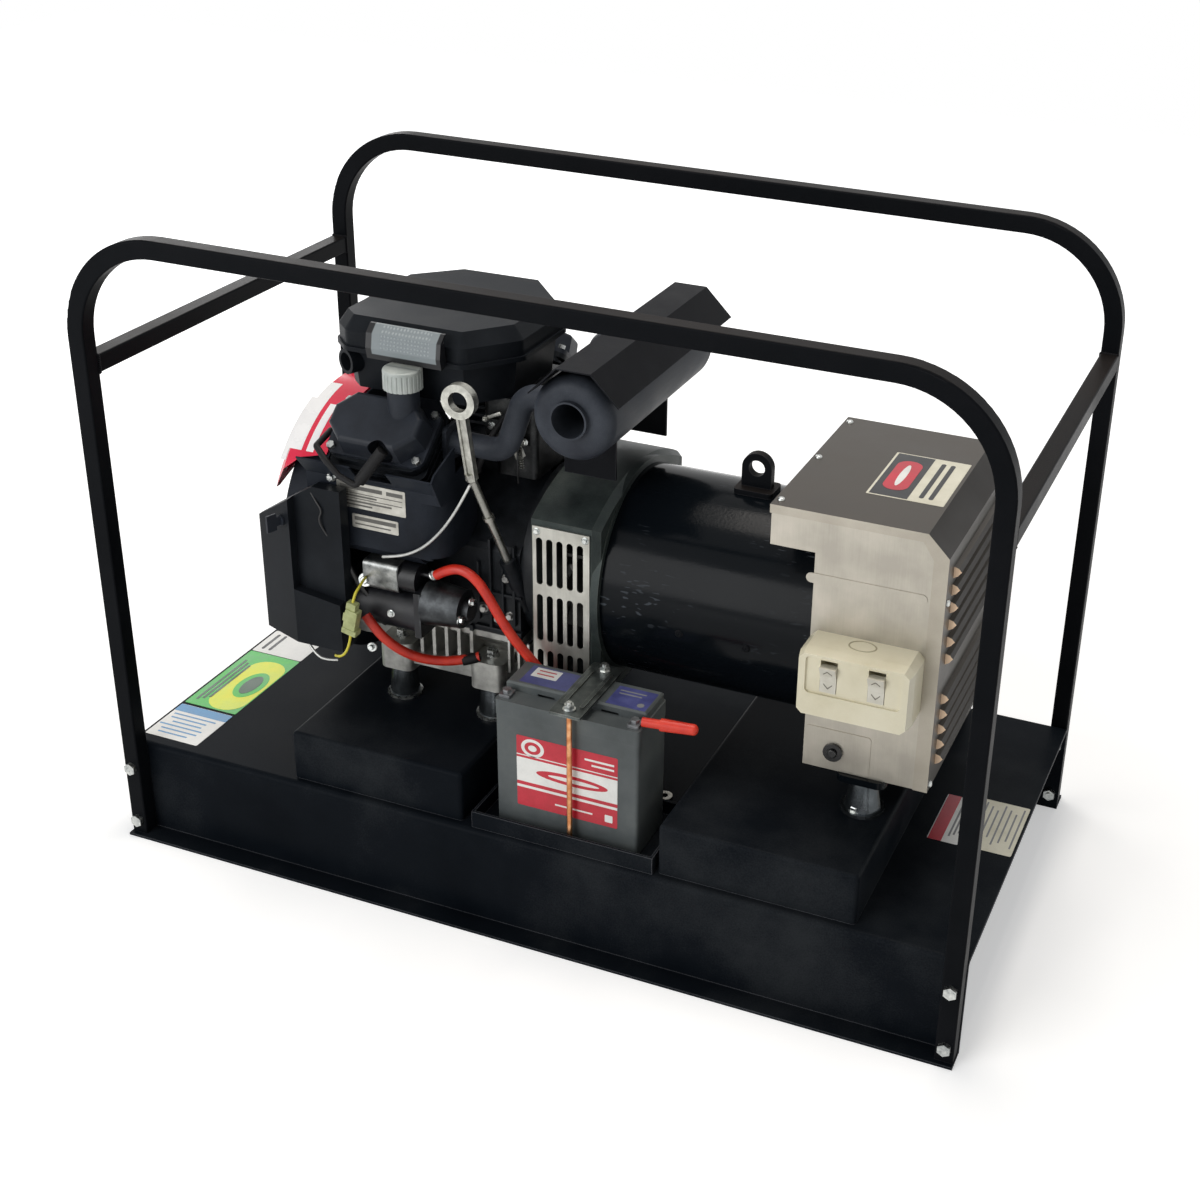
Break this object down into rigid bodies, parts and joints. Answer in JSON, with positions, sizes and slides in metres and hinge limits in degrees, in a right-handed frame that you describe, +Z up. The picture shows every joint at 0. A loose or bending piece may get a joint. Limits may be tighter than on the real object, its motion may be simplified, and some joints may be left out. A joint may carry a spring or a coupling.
{
  "type": "portable generator",
  "caption": "Open-frame portable generator: V-twin petrol engine on a close-coupled alternator, battery and outlet box, on a folded steel deck inside a bent tube carrying frame",
  "frame": {"origin": "middle of the deck on the floor, under the centre of the frame", "axes": "+X along the deck from the engine end to the alternator end, +Y from the battery side to the back, +Z up"},
  "size_m": [1.002, 0.536, 0.737],
  "materials": {
    "black_enamel": "semi-gloss powder coat",
    "satin_black": "satin heat-proof paint",
    "gloss_black": "gloss enamel",
    "zinc_steel": "bright zinc plate",
    "bare_steel": "bare rolled sheet",
    "steel": "machined",
    "iron": "as cast",
    "battery_grey": "moulded",
    "lead_terminal": "dull plated",
    "red_rubber": "smooth",
    "coppered_rod": "copper-washed rod",
    "mount_rubber": "moulded",
    "engine_alloy": "painted casting",
    "black_alloy": "black casting",
    "bare_alloy": "as cast",
    "grey_alloy": "as cast",
    "white_plastic": "moulded",
    "grey_plastic": "dimpled",
    "black_plastic": "fine grain",
    "red_plastic": "glossy",
    "cream_plastic": "moulded",
    "tinned_copper": "crimped"
  },
  "bodies": {
    "frame": {"adapter_bell": "grey_alloy", "air_cleaner_base": "black_plastic", "alternator_platform": "black_enamel", "base_deck": "black_enamel", "battery_case": "battery_grey", "battery_clamp_bar": "zinc_steel", "battery_clamp_rods": "coppered_rod", "battery_lid": "battery_grey", "battery_terminals": "lead_terminal", "battery_tray": "black_enamel", "breaker_enclosure": "cream_plastic", "carburettor": "bare_alloy", "control_box": "black_plastic", "crankcase": "engine_alloy", "dipstick_tube": "zinc_steel", "earth_lead": "red_rubber", "engine_platform": "black_enamel", "exhaust_pipes": "steel", "fan_cover": "red_plastic", "fan_housing": "black_plastic", "front_cylinder": "black_alloy", "front_hoop": "black_enamel", "front_shroud": "satin_black", "front_valve_cover": "black_alloy", "heat_shield": "satin_black", "hoop_bolts": "zinc_steel", "lifting_eye": "satin_black", "mount_bolts": "zinc_steel", "muffler": "satin_black", "muffler_bracket": "satin_black", "rear_cylinder": "black_alloy", "rear_hoop": "black_enamel", "rear_shroud": "satin_black", "rear_valve_cover": "black_alloy", "reset_breaker": "black_plastic", "rubber_mounts": "mount_rubber", "side_rails": "black_enamel", "spark_plug_caps": "mount_rubber", "starter_lead": "red_rubber", "starter_lead_lug": "tinned_copper", "starter_motor": "bare_alloy", "starter_solenoid": "black_plastic", "stator_housing": "gloss_black", "terminal_boot": "red_rubber", "terminal_box": "bare_steel", "terminal_box_cover": "bare_steel", "valve_cover_bolts": "zinc_steel", "vent_grilles": "bare_steel"},
    "crank": {"crankshaft": "steel", "flywheel": "iron", "rotor": "iron"},
    "filler_cap": {"oil_filler_cap": "white_plastic"},
    "dip_rod": {"dipstick": "bare_alloy"},
    "cleaner_lid": {"air_cleaner_cover": "black_plastic"},
    "cleaner_clip": {"air_cleaner_latch": "grey_plastic"},
    "choke": {"choke_lever": "steel"},
    "key": {"ignition_key": "steel"},
    "left_rocker": {"breaker_rocker_left": "cream_plastic"},
    "right_rocker": {"breaker_rocker_right": "cream_plastic"},
    "button": {"reset_button": "black_plastic"}
  },
  "joints": [
    {"name": "crank_spin", "type": "hinge", "parent": "frame", "child": "crank", "pos_m": [0, 0, 0.352], "axis": [1, 0, 0], "continuous": true},
    {"name": "filler_cap_turn", "type": "hinge", "parent": "frame", "child": "filler_cap", "pos_m": [-0.176, -0.14, 0.576], "axis": [0, 0, 1], "range_deg": [0, 90]},
    {"name": "dipstick_pull", "type": "slide", "parent": "frame", "child": "dip_rod", "axis": [-0.1898, -0.2982, 0.9354], "range_m": [0, 0.16]},
    {"name": "cleaner_lid_lift", "type": "slide", "parent": "frame", "child": "cleaner_lid", "axis": [0, 0, 1], "range_m": [0, 0.08]},
    {"name": "cleaner_clip_swing", "type": "hinge", "parent": "cleaner_lid", "child": "cleaner_clip", "pos_m": [-0.174, -0.133, 0.606], "axis": [1, 0, 0], "range_deg": [0, 60]},
    {"name": "choke_turn", "type": "hinge", "parent": "frame", "child": "choke", "pos_m": [-0.08, -0.0813, 0.536], "axis": [0, 1, 0], "range_deg": [-60, 0]},
    {"name": "key_turn", "type": "hinge", "parent": "frame", "child": "key", "pos_m": [-0.306, -0.18953, 0.418], "axis": [-0.3491, -0.9371, 0], "range_deg": [0, 75]},
    {"name": "left_rocker_tip", "type": "hinge", "parent": "frame", "child": "left_rocker", "pos_m": [0.315, -0.163, 0.361], "axis": [1, 0, 0], "range_deg": [-24, 0]},
    {"name": "right_rocker_tip", "type": "hinge", "parent": "frame", "child": "right_rocker", "pos_m": [0.365, -0.163, 0.361], "axis": [1, 0, 0], "range_deg": [-24, 0]},
    {"name": "button_press", "type": "slide", "parent": "frame", "child": "button", "axis": [0, 1, 0], "range_m": [0, 0.0025], "stiffness_N_per_m": 800}
  ]
}
